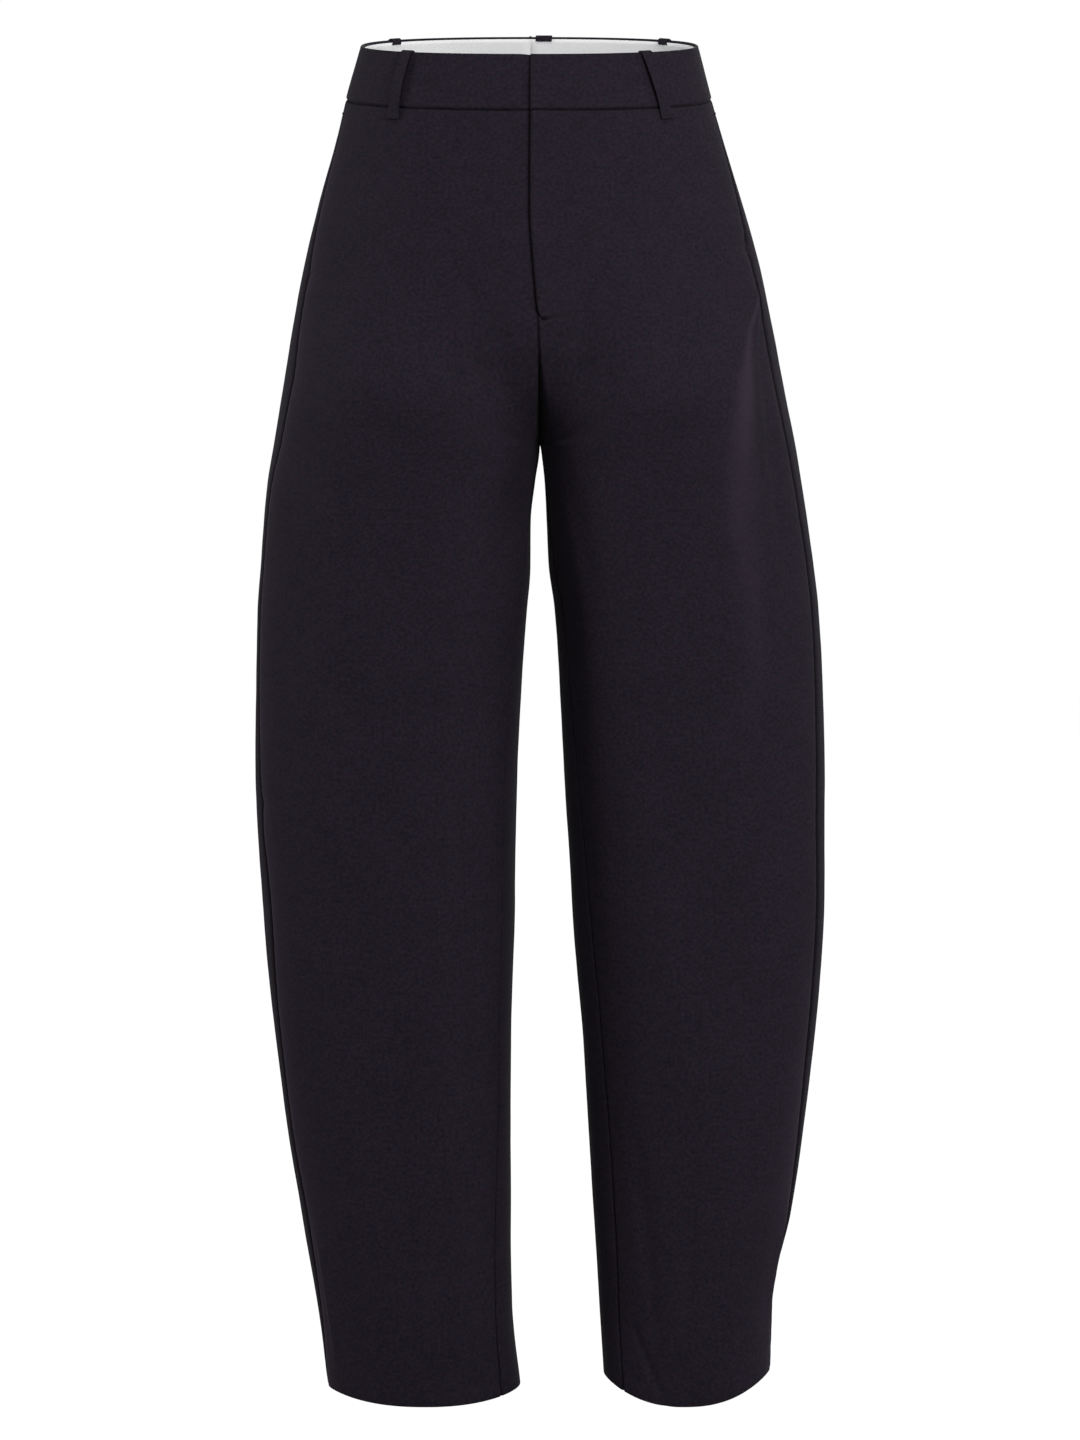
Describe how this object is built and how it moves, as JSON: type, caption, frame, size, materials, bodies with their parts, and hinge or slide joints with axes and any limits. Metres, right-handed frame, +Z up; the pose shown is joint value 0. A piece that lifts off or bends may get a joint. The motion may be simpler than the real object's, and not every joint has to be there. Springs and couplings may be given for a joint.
{
  "type": "high waist barrel-leg trousers",
  "caption": "High waist tailored trousers with long curved barrel legs, belt loops, side seam pockets and a fly front, filled out as when worn.",
  "frame": {"origin": "middle of the waist opening, half way up the waistband at the sides, where the wearer's waist holds the trousers up", "axes": "+Z up the body, -Y to the front, +X to the wearer's left"},
  "size_m": [0.4422, 0.2569, 1.0722],
  "materials": {
    "suiting": "blue-black fine twill suiting, matt with a slight soft sheen",
    "waist_facing": "pale grey-white smooth lining cloth"
  },
  "bodies": {
    "root": {"front_left": "suiting", "front_right": "suiting", "back_left": "suiting", "back_right": "suiting", "waistband_left": "suiting", "waistband_right": "suiting", "waist_facing_left": "waist_facing", "waist_facing_right": "waist_facing", "fly_shield": "suiting", "pocket_facing_left": "suiting", "pocket_facing_right": "suiting", "belt_loop_front_left": "suiting", "belt_loop_front_right": "suiting", "belt_loop_back_left": "suiting", "belt_loop_back_right": "suiting", "belt_loop_back_centre": "suiting"}
  },
  "joints": []
}
